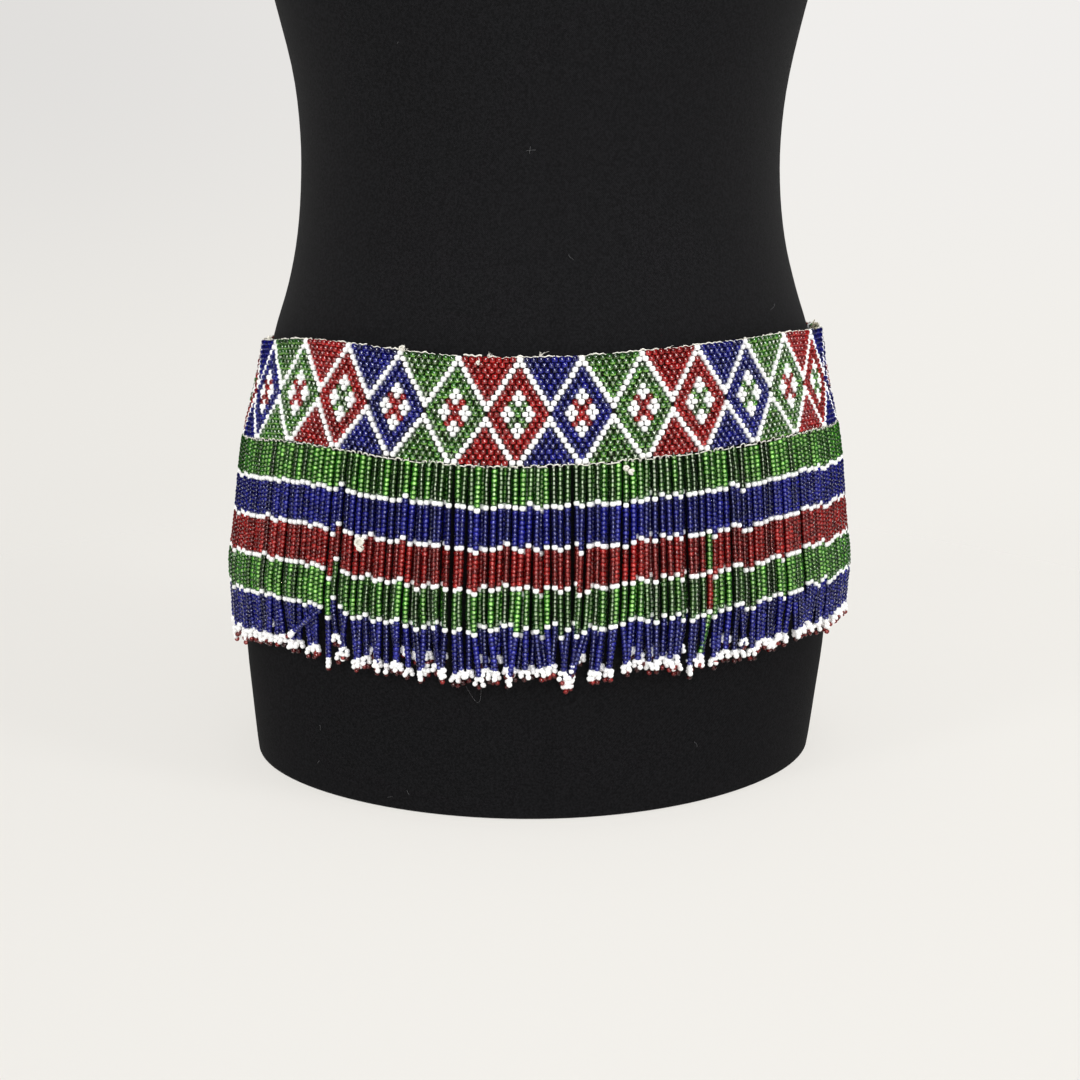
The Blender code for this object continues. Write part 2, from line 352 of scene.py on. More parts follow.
class Tubes:
    """Thin round tubes gathered for one joined mesh."""

    def __init__(self, sides):
        self.sides = sides
        self.points = []
        self.faces = []
        self.values = []
        self.count = 0

    def add(self, path, radius, value=0.5):
        """A closed tube along a path; its radius and value may differ from point to point."""
        path = np.array(path)
        ahead = unit(np.gradient(path, axis=0))
        steep = abs(ahead[:, 2]).mean() > STEEP
        across = unit(np.cross(ahead, SIDEWAYS if steep else UP))
        other = np.cross(ahead, across)
        angles = full_turn(self.sides)[None, :, None]
        reach = np.broadcast_to(radius, len(path))[:, None, None]
        rings = path[:, None] + reach * turned(angles, across[:, None], other[:, None])
        self.points.append(rings.reshape(-1, 3))
        self.values.append(np.repeat(np.broadcast_to(value, len(path)), self.sides))
        for face in loft_faces(len(path), self.sides):
            self.faces.append(tuple(self.count + k for k in face))
        self.count += len(path) * self.sides

    def build(self, name, material, slot, replaces):
        piece = make_piece(name, np.concatenate(self.points), self.faces, material, replaces)
        add_attribute(piece, "along", np.concatenate(self.values))
        return piece


# ---- materials ----


class Surface:
    """A material's nodes, made and joined by short calls."""

    def __init__(self, name, roughness, colour=(0.8, 0.8, 0.8), **sockets):
        self.material = bpy.data.materials.new(name)
        self.material.use_nodes = True
        self.nodes = self.material.node_tree.nodes
        self.links = self.material.node_tree.links
        self.shader = self.nodes["Principled BSDF"]
        self.shader.inputs["Base Color"].default_value = (*colour, 1)
        self.shader.inputs["Roughness"].default_value = roughness
        for socket, value in sockets.items():
            self.shader.inputs[socket.replace("_", " ")].default_value = value

    def node(self, kind, inputs=None, **settings):
        made = self.nodes.new("ShaderNode" + kind)
        for key, value in settings.items():
            setattr(made, key, value)
        for key, value in (inputs or {}).items():
            self.set(made.inputs[key], value)
        return made

    def set(self, socket, value):
        """Joins an output to a socket, or gives the socket a plain value."""
        if isinstance(value, bpy.types.NodeSocket):
            self.links.new(value, socket)
        else:
            socket.default_value = value

    def math(self, operation, *values, clamp=False):
        made = self.node("Math", operation=operation, use_clamp=clamp)
        for socket, value in zip(made.inputs, values):
            self.set(socket, value)
        return made.outputs[0]

    def mix(self, factor, first, second):
        """One plain colour mixed into another."""
        made = self.node("Mix", {0: factor}, data_type="RGBA")
        for socket, colour in ((made.inputs[6], first), (made.inputs[7], second)):
            self.set(socket, (*colour, 1))
        return made.outputs[2]

    def blend(self, factor, first, second):
        """One shader mixed into another."""
        return self.node("MixShader", {0: factor, 1: first, 2: second}).outputs[0]

    def scaled(self, colour, share):
        """A colour made lighter or darker."""
        made = self.node("VectorMath", {0: colour}, operation="SCALE")
        self.set(made.inputs[3], share)
        return made.outputs[0]

    def paint(self, colour):
        self.set(self.shader.inputs["Base Color"], colour)

    def mottle(self, speckle, edges, dark, light):
        """Paints it from one colour to another by a noise."""
        self.paint(self.mix(self.ramp(speckle, *edges), dark, light))

    def show(self, shader):
        """Another shader's output in place of the plain one."""
        self.set(self.nodes["Material Output"].inputs["Surface"], shader)

    def noise(self, scale, detail=2.0, roughness=0.5):
        place = self.node("TexCoord").outputs["Object"]
        inputs = {"Vector": place, "Scale": scale, "Detail": detail, "Roughness": roughness}
        return self.node("TexNoise", inputs).outputs["Fac"]

    def ramp(self, value, low, high, to_low=0.0, to_high=1.0):
        inputs = {0: value, 1: low, 2: high, 3: to_low, 4: to_high}
        return self.node("MapRange", inputs, interpolation_type="SMOOTHSTEP").outputs[0]

    def attribute(self, name):
        return self.node("Attribute", attribute_name=name).outputs["Fac"]

    def bump(self, height, strength, distance):
        inputs = {"Height": height, "Strength": strength, "Distance": distance}
        made = self.node("Bump", inputs)
        self.set(self.shader.inputs["Normal"], made.outputs[0])


# Bead glass: its tint where light passes straight through, its tint along its sides, and its
# colour in the shade, which is painted shade under the lighter colour painted where light gathers.
GLASS = {
    "blue": ((0.15, 0.17, 0.50), (0.008, 0.010, 0.22), (0.0020, 0.0028, 0.120)),
    "green": ((0.88, 0.96, 0.80), (0.020, 0.22, 0.002), (0.0070, 0.0600, 0.002)),
    "red": ((0.62, 0.17, 0.16), (0.300, 0.001, 0.001), (0.1900, 0.0008, 0.0008)),
}
# For the band and for the fringe: how clouded a middling bead is, its colour where light gathers
# in it, which is painted light, how far round the glass is clear, how strongly it bends light, how
# far the painted gathered light spreads from its middle, and how much of that is painted in its
# underside only.
BAND_OPTICS = {
    "cloud": {"blue": 0.46, "green": 0.44, "red": 0.68},
    "gathered": {
        "blue": (0.018, 0.022, 0.300),
        "green": (0.200, 0.430, 0.080),
        "red": (0.560, 0.020, 0.018),
    },
    "clear": (0.08, 0.55),
    "index": 1.75,
    "painted_light_stripe": (0.95, 0.60),
    "underside": 1.0,
}
STRAND_OPTICS = {
    "cloud": {"blue": 0.40, "green": 0.34, "red": 0.38},
    "gathered": {
        "blue": (0.044, 0.048, 0.330),
        "green": (0.270, 0.530, 0.120),
        "red": (0.580, 0.060, 0.050),
    },
    "clear": (0.03, 0.36),
    "index": 1.45,
    "painted_light_stripe": (0.26, 0.03),
    "underside": 0.45,
}
TIP_CLOUD = 0.8  # of the red beads in the loops at the strands' ends
# Painted light: surfaces that look down get more of the painted gathered colour, those that look
# up more of the painted shade colour.
UNDERSIDE_PAINTED_LIGHT = (0.15, -0.75)  # how far up a surface looks, from where it is unlit to fully lit
BEAD_GLOSS = 0.22  # how blurred their glints are
WHITE = (1, 1, 1, 1)
# Painted glow: the white glass emits a little light, though it is no lamp.
PAINTED_GLOW = {"Emission_Color": WHITE, "Emission_Strength": 0.09}  # of the white glass


def clouded_glass(made, colour, optics, facing, tone):
    """The milky part of a glass bead, painted brighter where light gathers in its underside and
    its middle, over its painted shade.
    """
    shade = GLASS[colour][2]
    upward = made.node("SeparateXYZ", {0: made.node("NewGeometry").outputs["Normal"]}).outputs[2]
    # Painted light and shade: the gathered colour in the underside and middle, the shade colour
    # elsewhere.
    under = made.ramp(upward, *UNDERSIDE_PAINTED_LIGHT, 1 - optics["underside"], 1.0)
    lit = made.math("MULTIPLY", under, made.ramp(facing, *optics["painted_light_stripe"]))
    mottle = made.ramp(made.noise(800.0, 2.0, 0.6), 0.36, 0.64, 0.55, 1.45)
    colours = made.mix(lit, shade, optics["gathered"][colour])
    made.paint(made.scaled(colours, made.math("MULTIPLY", tone, mottle)))
    return made.shader.outputs[0]


def clear_glass(made, colour, optics, facing):
    """The see-through part of a glass bead, deeper in colour along its sides."""
    straight, sideways, _ = GLASS[colour]
    tint = made.mix(made.ramp(facing, *optics["clear"]), straight, sideways)
    return made.node("BsdfTransparent", {"Color": tint}).outputs[0]


def glass_beads(name, colour, optics, cloud=None):
    """Glossy coloured glass, part clear and part clouded.

    A bead's tone makes it lighter and more clouded. Its far side doesn't show.
    """
    made = Surface(name, 0.6, Specular_IOR_Level=0.0)
    facing = made.node("LayerWeight", {"Blend": 0.5}).outputs["Facing"]
    tone = made.attribute("tone")
    share = made.math("MULTIPLY", tone, cloud or optics["cloud"][colour], clamp=True)
    clouded = clouded_glass(made, colour, optics, facing, tone)
    clear = clear_glass(made, colour, optics, facing)
    gloss = made.node("BsdfGlossy", {"Color": WHITE, "Roughness": BEAD_GLOSS}).outputs[0]
    edge = made.node("Fresnel", {"IOR": optics["index"]}).outputs[0]
    near = made.blend(edge, made.blend(share, clear, clouded), gloss)
    far = made.node("BsdfTransparent", {"Color": WHITE}).outputs[0]
    made.show(made.blend(made.node("NewGeometry").outputs["Backfacing"], near, far))
    return made.material


# Colours from the darker to the lighter.
COTTON_COLOURS = ((0.74, 0.70, 0.60), (0.90, 0.88, 0.81))
WORN_COLOURS = ((0.24, 0.21, 0.13), (0.46, 0.42, 0.28))
LINT_COLOURS = ((0.050, 0.050, 0.055), (0.085, 0.085, 0.090))
# The core thread's darker colour is painted shade where one bead meets the next, and worn patches
# elsewhere.
CORE_COLOURS = ((0.26, 0.26, 0.24), (0.97, 0.96, 0.93))
# Painted shade: the net is coloured dark for the shade between the beads.
NET_SHADE_COLOURS = ((0.010, 0.009, 0.010), (0.035, 0.030, 0.026))
JERSEY_COLOURS = ((0.0020, 0.0020, 0.0026), (0.0068, 0.0067, 0.0079))
MILK = (0.93, 0.93, 0.925)  # the white glass, clean and dusty
DUST = (0.82, 0.815, 0.80)


def white_beads():
    """Milky white glass, dusty in places, with a painted glow: it emits a little light of its own.
    """
    made = Surface("white_glass", 0.28, Specular_IOR_Level=0.5, **PAINTED_GLOW)
    dust = made.ramp(made.noise(420.0, 3.0), 0.40, 0.80)
    colour = made.mix(dust, MILK, DUST)
    made.paint(made.scaled(colour, made.attribute("tone")))
    made.bump(made.noise(1200.0, 1.0), 0.2, 0.0002)
    return made.material


def core_thread():
    """White thread in the beads' holes, with painted shade: darker where one bead meets the next.
    """
    made = Surface("core_thread", 0.8, Specular_IOR_Level=0.1)
    turn = made.math("MULTIPLY", made.attribute("along"), np.pi)
    joint_shade_wave = made.math("ABSOLUTE", made.math("SINE", turn))
    worn = made.ramp(made.noise(330.0, 1.0), 0.32, 0.62, 0.35, 1.0)
    shade_and_wear = made.math("MULTIPLY", joint_shade_wave, worn)
    made.paint(made.mix(shade_and_wear, *CORE_COLOURS))
    return made.material


def cotton(name, shade, colour):
    """Spun cotton: fine slubs and a soft sheen."""
    made = Surface(name, 0.85, Sheen_Weight=0.3, Sheen_Roughness=0.5)
    slubs = made.noise(1500.0, 3.0, 0.6)
    made.mottle(slubs, (0.3, 0.7), shade, colour)
    made.bump(slubs, 0.6, 0.0003)
    return made.material


def net_painted_shade():
    """The thread net as a dark sheet of painted shade, which shows between the beads."""
    made = Surface("thread_net_painted_shade", 0.95, Specular_IOR_Level=0.05)
    made.mottle(made.noise(700.0, 3.0), (0.3, 0.7), *NET_SHADE_COLOURS)
    made.bump(made.noise(1800.0, 2.0), 0.5, 0.0003)
    return made.material


WALE_WIDTH = 0.0011  # the jersey's loops, round the form and up it
COURSE_HEIGHT = 0.0009
FUZZ_HEIGHTS = (0.10, 0.28)
FUZZ_WEIGHTS = (0.005, 0.052)


def jersey():
    """Fine black jersey: rows of knit loops, faint pilling, and less fuzz near the base."""
    made = Surface("black_jersey", 0.85, Sheen_Roughness=0.55, Specular_IOR_Level=0.08)
    up = made.attribute("height")
    fuzz = made.ramp(up, *FUZZ_HEIGHTS, *FUZZ_WEIGHTS)
    made.set(made.shader.inputs["Sheen Weight"], fuzz)
    turn = made.math("MULTIPLY", made.attribute("round"), 2 * np.pi / WALE_WIDTH)
    rise = made.math("MULTIPLY", up, 2 * np.pi / COURSE_HEIGHT)
    knit = made.math("MULTIPLY", made.math("SINE", turn), made.math("SINE", rise))
    pilling = made.noise(260.0, 4.0, 0.65)
    made.mottle(made.noise(750.0, 3.0, 0.7), (0.36, 0.64), *JERSEY_COLOURS)
    height = made.math("ADD", made.math("MULTIPLY", knit, 0.35), pilling)
    made.bump(height, 0.35, 0.0003)
    return made.material


# ---- camera ----

PHOTO_WIDTH = 1080  # the picture's width in the pixels that FOCAL_LENGTH is given in
FOCAL_LENGTH = 1407.7
SENSOR = 36.0
CAMERA_PLACE = Vector((-0.0787, -0.8287, 0.3461))
CAMERA_DOWN = 0.2556  # radians below level
CAMERA_TURN = 0.0952  # radians from +Y towards +X
CAMERA_ROLL = 0.0129


def make_camera():
    forward = Vector((
        np.sin(CAMERA_TURN) * np.cos(CAMERA_DOWN),
        np.cos(CAMERA_TURN) * np.cos(CAMERA_DOWN),
        -np.sin(CAMERA_DOWN),
    ))
    level = Vector((np.cos(CAMERA_TURN), -np.sin(CAMERA_TURN), 0))
    above = level.cross(forward)
    right = turned(CAMERA_ROLL, level, above)
    up = turned(CAMERA_ROLL, above, -level)
    data = bpy.data.cameras.new("camera")
    data.sensor_width = SENSOR
    data.lens = SENSOR * FOCAL_LENGTH / PHOTO_WIDTH
    camera = bpy.data.objects.new("camera", data)
    heading = Matrix((right, up, -forward)).transposed().to_4x4()
    camera.matrix_world = Matrix.Translation(CAMERA_PLACE) @ heading
    bpy.context.scene.collection.objects.link(camera)
    bpy.context.scene.camera = camera


# ---- ties ----

PLY_TURN = 0.0042  # along a cord, for one turn of its two plies
CORD_STEPS = 60
ROUTE_FINENESS = 40  # fine steps for each point of a route
PLY_CENTRE = TIE_DIAMETER / 4 * 0.92
PLY_RADIUS = TIE_DIAMETER / 4 * 1.08
OUT_OF_CORDS = (0.3, 1.0, 0.2)  # a direction that no part of a cord runs in
TIE_CURVE = 0.7  # how a tail bends away: less than 1 is more at its top
KNOT_STEPS = 60
# A knot's half sizes, its turns and its cord's radius.
TIE_KNOT = ((0.0026, 0.0014, 0.0020), 3, 0.00085)
END_KNOT = ((0.0009, 0.0008, 0.0009), 2, 0.0006)


def tie_route(height, side):
    """One cord of a tie: from the band's end to the knot, and down in a short tail."""
    start = angle_at(side * (BELT_LENGTH / 2 + SEAM_GAP))
    shares = np.array([0, 0.25, 0.5, 0.75])
    taut = belt_points(start + (side * np.pi - start) * shares, height)
    tail_shares = np.array([0, 0.25, 0.5, 0.75, 1.0])
    tail = belt_points(np.pi, height - TIE_TAIL * tail_shares, KNOT_STAND_OFF)
    tail[:, 0] -= side * TIE_SPREAD * tail_shares**TIE_CURVE
    return np.concatenate([taut, tail])


def even_path(route, steps):
    """A smooth path of even steps through a route's points, and its length."""
    fine = smooth_rows(route, ROUTE_FINENESS * len(route))
    lengths = lengths_along(fine)
    places = np.linspace(0, lengths[-1], steps)
    return np.stack([np.interp(places, lengths, column) for column in fine.T], axis=1), lengths[-1]


def make_cord(name, route, material, node):
    """Two plies twisted together along a route."""
    path, length = even_path(route, CORD_STEPS)
    ahead = unit(np.gradient(path, axis=0))
    across = unit(np.cross(ahead, OUT_OF_CORDS))
    other = np.cross(ahead, across)
    turn = np.linspace(0, length / PLY_TURN * 2 * np.pi, CORD_STEPS)[:, None]
    tubes = Tubes(8)
    for start in (0, np.pi):
        tubes.add(path + PLY_CENTRE * turned(turn + start, across, other), PLY_RADIUS)
    return tubes.build(name, material, "cotton", node), path, length


def add_knot(tubes, centre, size, turns, radius):
    """A cord wound round a small lump, as it is in its knot."""
    t = np.linspace(0, 1, KNOT_STEPS)
    around = 2 * np.pi * turns * t
    lean = 2 * np.pi * t
    ring = np.stack([
        size[0] * np.cos(around) * (0.75 + 0.25 * np.cos(lean)),
        size[1] * np.sin(around),
        size[2] * np.sin(lean) * 0.75,
    ], axis=1)
    tubes.add(centre + ring, radius)


def make_ties(surface):
    """Two ties at the back, each of two cords and a knot."""
    for node, height in TIE_HEIGHTS.items():
        cords = [
            make_cord(f"{node}_{word}", tie_route(height, side), surface, node)
            for side, word in ((-1, "left"), (1, "right"))
        ]
        knots = Tubes(8)
        add_knot(knots, belt_points(np.pi, np.array(height), KNOT_STAND_OFF), *TIE_KNOT)
        for _, path, _ in cords:
            add_knot(knots, path[-1], *END_KNOT)
        knot = knots.build(f"{node}_knot", surface, "cotton", node)


# ---- the form ----

FORM_AROUND = 120
FORM_RINGS = 100
EDGE_RINGS = 6
MEAN_RADIUS = 0.15  # to tell how far round the form its jersey's loops lie
SHARP_EDGE = 1.0  # radians


def form_rows():
    """The form's sections, with rounded edges at its base and neck."""
    rows = smooth_rows(FORM_SECTIONS, FORM_RINGS)
    rows[0, 0] = BASE_EDGE
    turn = np.linspace(0, np.pi / 2, EDGE_RINGS + 1)[:-1]
    foot = np.repeat(rows[:1], EDGE_RINGS, axis=0)
    foot[:, 0] = BASE_EDGE * (1 - np.cos(turn))
    foot[:, 1:4] -= BASE_EDGE * (1 - np.sin(turn))[:, None]
    head = np.repeat(rows[-1:], EDGE_RINGS, axis=0)
    rise = NECK_TOP - rows[-1, 0]
    head_turn = turn + turn[1]
    head[:, 0] = rows[-1, 0] + rise * np.sin(head_turn)
    head[:, 1:4] -= NECK_EDGE * (1 - np.cos(head_turn))[:, None]
    return np.concatenate([foot, rows, head])


def make_form():
    """The form's smooth skin."""
    rows = form_rows()
    angles = full_turn(FORM_AROUND)
    points = np.concatenate([
        np.column_stack([oval(*row[1:4], angles) + (row[4], 0), np.full(FORM_AROUND, row[0])])
        for row in rows
    ])
    faces = loft_faces(len(rows), FORM_AROUND)
    piece = make_piece("form_jersey", points, faces, jersey(), "dress_form")
    piece.data.set_sharp_from_angle(angle=SHARP_EDGE)
    add_attribute(piece, "round", np.tile(angles * MEAN_RADIUS, len(rows)))
    add_attribute(piece, "height", points[:, 2])
    return piece


# Short fibres caught on the form: angle from the front, height, reach round and up, and sag.
LINT = (
    (0.905, 0.2748, 0.0066, 0.0030, 0.0),
    (-0.612, 0.4070, 0.0014, 0.0012, 0.0),
    (-0.130, 0.3562, 0.0046, 0.0006, 0.0),
    (-0.118, 0.3550, 0.0006, 0.0034, 0.0),
    (0.020, 0.3060, 0.0024, -0.0026, 0.0),
    (-0.284, 0.0790, 0.0084, -0.0006, 0.0090),
    (-0.833, 0.0395, 0.0003, 0.0034, 0.0),
    (0.462, 0.0392, 0.0024, -0.0034, 0.0),
    (-0.860, 0.0180, 0.0020, 0.0022, 0.0),
    (-0.560, 0.0070, 0.0030, 0.0010, 0.0),
    (-0.480, 0.0110, -0.0012, 0.0026, 0.0),
    (2.40, 0.3900, 0.0040, 0.0030, 0.0),
)
LINT_RADIUS = 0.00008
LINT_STEPS = 7
FINE_FORM_STEPS = 600
LINT_BEND = 0.3  # of a fibre's reach
LINT_SEED = 3


def make_lint(surface):
    """A few fibres that lie on the jersey."""
    random = np.random.default_rng(LINT_SEED)
    form = smooth_rows(FORM_SECTIONS, FINE_FORM_STEPS).T
    tubes = Tubes(4)
    share = np.linspace(0, 1, LINT_STEPS)
    arch = np.sin(np.pi * share)
    for angle, height, reach, rise, sag in LINT:
        heights = height + rise * share - sag * arch
        sizes = np.array([np.interp(heights, form[0], column) for column in form[1:]])
        bend = LINT_BEND * abs(reach) * arch * random.choice((-1, 1))
        angles = angle + (reach * share + bend) / sizes[0].mean()
        level = oval(*(sizes[:3] + LINT_RADIUS), angles)
        level[:, 0] += sizes[3]
        tubes.add(np.column_stack([level, heights]), LINT_RADIUS)
    return tubes.build("form_lint", surface, "cotton", "dress_form")


# ---- the band ----

# The chart of one diamond, 20 rows deep: row from the top, and half columns off its middle.
FLOWER = {
    (6, 0), (7, 1), (8, 0),
    (9, 3), (10, 2), (10, 4), (11, 3),
    (12, 0), (13, 1), (14, 0),
}
CROSS = {(8, 2), (9, 1), (10, 0), (11, 1), (12, 2)}
DIAMONDS = ("blue", "green", "red")
CROSSES = {"blue": "red", "green": "red", "red": "green"}
ODD_DIAMOND = 3  # the blue diamond with a green cross, counted from the one at the front
HALF_REPEAT = BEADS_PER_REPEAT  # in half columns


def chart_colour(row, step):
    """The colour of the bead that many half columns from the front blue diamond's middle."""
    diamond, place = divmod(step + HALF_REPEAT, 2 * HALF_REPEAT)
    aside = place - HALF_REPEAT
    reach = min(row, BEAD_ROWS - row)
    if abs(aside) == reach:
        return "white"
    if abs(aside) > reach:
        return DIAMONDS[(diamond + (aside > 0)) % len(DIAMONDS)]
    if (row, abs(aside)) in FLOWER:
        return "white"
    ground = DIAMONDS[diamond % len(DIAMONDS)]
    if (row, abs(aside)) in CROSS:
        return "green" if diamond == ODD_DIAMOND else CROSSES[ground]
    return ground


def corner_gap(row, step):
    """On which side of a bead the hole where two diamonds meet lies: -1 or 1, else 0."""
    aside = (step + HALF_REPEAT) % (2 * HALF_REPEAT) - HALF_REPEAT
    if row != BEAD_ROWS // 2 or abs(aside) != HALF_REPEAT - 1:
        return 0
    return int(np.sign(aside))


def band_places():
    """Each bead's row and its half columns from the front blue diamond's middle."""
    edge = BELT_LENGTH / 2 - 0.4 * BEAD_PITCH
    first = int(np.ceil((-edge - BLUE_DIAMOND) / HALF_STEP))
    last = int(np.floor((edge - BLUE_DIAMOND) / HALF_STEP))
    for row in range(BEAD_ROWS):
        for step in range(first, last + 1):
            if (row + step) % 2 == 0:
                yield row, step


def add_band_bead(beads, row, step, random):
    """Adds a bead with an upright hole, and gives its middle and the way out from it."""
    gap = corner_gap(row, step)
    arc = BLUE_DIAMOND + step * HALF_STEP - gap * CORNER_GAP + random.normal(0, BEAD_STRAYS)
    height = BAND_TOP - (row + 0.5) * ROW_PITCH + random.normal(0, BEAD_RISES)
    point, out = belt_frame(angle_at(arc), height)
    point = point + random.normal(0, BEAD_STRAYS) * out
    axis = np.array(UP) + random.normal(0, BEAD_TILTS, 3)
    colour = chart_colour(row, step)
    radius = BAND_WHITE_RADIUS if colour == "white" else BAND_BEAD_RADIUS
    beads[colour].add(
        point,
        axis,
        radius * (1 - CORNER_BEADS_LESS * abs(gap)) * random.normal(1, BAND_SPREAD[0]),
        BAND_BEAD_HALF * random.normal(1, BAND_SPREAD[1]),
        random.uniform(*BAND_TONES[colour]),
    )
    return point, out


def add_fork(threads, point, out, random):
    """Threads side by side in a bead's hole, which part above it to the next two beads."""
    along = np.cross(out, UP)
    left, right = [
        point + random.uniform(*FORK_REACH) * (side * HALF_STEP * along + (0, 0, ROW_PITCH))
        for side in (-1, 1)
    ]
    low = point - (0, 0, random.uniform(*FORK_LOW) * BAND_BEAD_HALF)
    middle = FORK_MIDDLE * random.uniform(*FORK_SPREAD)
    threads.add([left, low, right], (FORK_ENDS, middle, FORK_ENDS))


def make_band(surfaces, core):
    """Rows of beads, each half a column aside from the one above."""
    random = np.random.default_rng(BAND_SEED)
    beads = {colour: Beads() for colour in surfaces}
    threads = Tubes(3)
    for row, step in band_places():
        point, out = add_band_bead(beads, row, step, random)
        if row > 0 and chart_colour(row, step) != "white":
            add_fork(threads, point, out, random)
    thread_piece = threads.build("band_threads", core, "cotton", "belt_band")
    return [thread_piece, *join_beads(beads, "band", BAND_SHAPES, surfaces, BAND_TURNS_SEED)]


GROUND_THICKNESS = 0.0005
GROUND_DEPTH = 0.0010  # inside the beads' middles
GROUND_ROWS = 10
GROUND_COLUMNS = 162
GROUND_MARGIN = 0.0006  # short of the band's edges


def make_shade_ground():
    """The net's thin shell in the middle of the beads, dark with painted shade."""
    arcs = np.linspace(-BELT_LENGTH / 2, BELT_LENGTH / 2, GROUND_COLUMNS + 1)
    heights = np.linspace(BAND_TOP - GROUND_MARGIN, BAND_BOTTOM + GROUND_MARGIN, GROUND_ROWS + 1)
    angles = angle_at(arcs)[:, None]
    outer = belt_points(angles, heights[None], GROUND_THICKNESS / 2 - GROUND_DEPTH)
    inner = belt_points(angles, heights[None], -GROUND_THICKNESS / 2 - GROUND_DEPTH)
    rings = np.concatenate([outer, inner[:, ::-1]], axis=1)
    faces = loft_faces(len(arcs), rings.shape[1])
    points = rings.reshape(-1, 3)
    piece = make_piece("belt_shade_ground", points, faces, net_painted_shade(), "belt_band")
    piece.data.set_sharp_from_angle(angle=SHARP_EDGE)
    return piece


# ---- the fringe ----

SECTIONS = ("green", "blue", "red", "green", "blue")
BEADS_A_SECTION = (8, 8, 8, 8, 9)
LENGTH_SPREAD = 0.013
BACK_STRANDS = 56  # hang behind the widest gaps
BACK_SHORTER = (2, 5)  # beads, from the first up to the last less one
GAP_SHARE = 0.4  # of the strands' drift, where their gaps are measured
BACK_DEPTH = 0.0027
FRONT_DEPTH = 0.0002
ALTERNATE_DEPTH = 0.0004
UNEVEN_CHANCE = 0.08
CLUMP_REACH = 0.0020  # how far strands drift together by their ends
OWN_DRIFT = 0.0009
DRIFT_LIMIT = 0.0045
ROOT_STRAY = 0.00022
BOW_SPREAD = 0.0006
SWING_SPREAD = 0.07
FLARE_SPREAD = 0.0005
STRAND_TONES = (0.6, 1.0, 1.6, 2.1)  # from dull glass to glass that light gets well into
TONE_RANGE = {"green": 1.0, "blue": 0.5, "red": 0.45, "white": 0}  # how each follows them
STRAND_BEAD_TONES = (0.75, 1.25)
BEAD_FILLS = 0.49  # half of its length of strand, less a small gap
FRONT_CHANCES = (0.32, 0.34, 0.22, 0.12)
# Painted light: strands at the hips are more often given the lighter, more clouded tones, for the
# light that comes in behind them.
HIP_PAINTED_LIGHT_CHANCES = (0.06, 0.22, 0.36, 0.36)  # at the hips, where light comes in behind the strands
HIP_RISE = (1.8, 0.4)  # how fast strands come to hang as at the hips, and from where on
SIDE_CALM = 0.85  # strands at the hips hang closer to straight
SIDE_STEADY = 0.7  # their roots and bows stray less
SIDE_THIN = 0.80  # and show less of their threads
CORE_SHARES = (0.60, 1.05)
CORE_STEPS = 24
CORE_WOBBLE = 0.00016
SWAPPED_STRAND_ARC = 0.0716  # the strand that was strung with its colours changed
FLICKED_STRAND_ARC = -0.1215  # the strand whose end lies across its neighbours
FLICKED_STRAND_SWING = -0.80  # radians, of its last section
SWING_LIFT = 0.0060  # outward, to pass over its neighbours, for a swing of one radian
SWING_EASE = 0.004  # along the strand, until it is lifted in full
LAST_SECTION = 0.0865  # from a strand's first bead to where its last section swings from
SWAPPED_SECTIONS = ("green", "blue", "green", "red", "green")
LOOP_WHITES = (  # of the bead loop at a strand's end: aside, below, lean of the hole
    (0.0000, 0.0007, 0.0),
    (-0.0015, 0.0021, -0.9),
    (0.0015, 0.0021, 0.9),
    (-0.0019, 0.0041, 0.6),
    (0.0019, 0.0041, -0.6),
)
LOOP_REDS = ((0.0,), (0.0,), (-0.0013, 0.0013))  # one or two red beads, and how far aside
LOOP_RED = 0.0064  # the loop's lowest bead, below the strand's end
LOOP_BEAD_RADIUS = 0.00148
LOOP_BEAD_HALF = 0.00122
LOOP_STRAYS = (0.00025, 0.0003, 0.15)  # of a white bead: aside, down and its hole's lean
LOOP_RED_STRAYS = (0.0004, 0.0004, 0.3)
LOOP_TURN = 1.35  # radians, either way from level with the belt
LOOP_TONES = (0.3, 0.9)
STRAND_DROP = 0.115
STRAND_ROOT = 0.0002
ROOT_SPREAD = 0.0016


@dataclass
class Strand:
    """The line that a strand of the fringe hangs along."""

    arc: float  # where it hangs from, along the belt and below the band
    root: float
    drift: float  # how far its end lies aside, and its middle
    bow: float
    swing: float  # how far its last section leans aside
    outward: float  # from the beadwork's middle surface, and how much more below
    flare: float

    def points(self, drops):
        share = np.clip(drops / STRAND_DROP, 0, None)
        aside = self.drift * share**3 + self.bow * np.sin(np.pi * np.minimum(share, 1))
        swung = np.clip(drops - LAST_SECTION, 0, None)
        aside = aside + np.sin(self.swing) * swung
        lift = SWING_LIFT * self.swing**2 * np.minimum(swung / SWING_EASE, 1)
        outward = self.outward + self.flare * share + lift
        heights = BAND_BOTTOM - self.root - drops + (1 - np.cos(self.swing)) * swung
        return belt_points(angle_at(self.arc + aside), heights, outward)


def bead_colours(sections, counts):
    """The colours down a strand, with a white bead between each section and the next."""
    colours = []
    for colour, count in zip(sections, counts):
        colours += [colour] * count + ["white"]
    return colours[:-1]


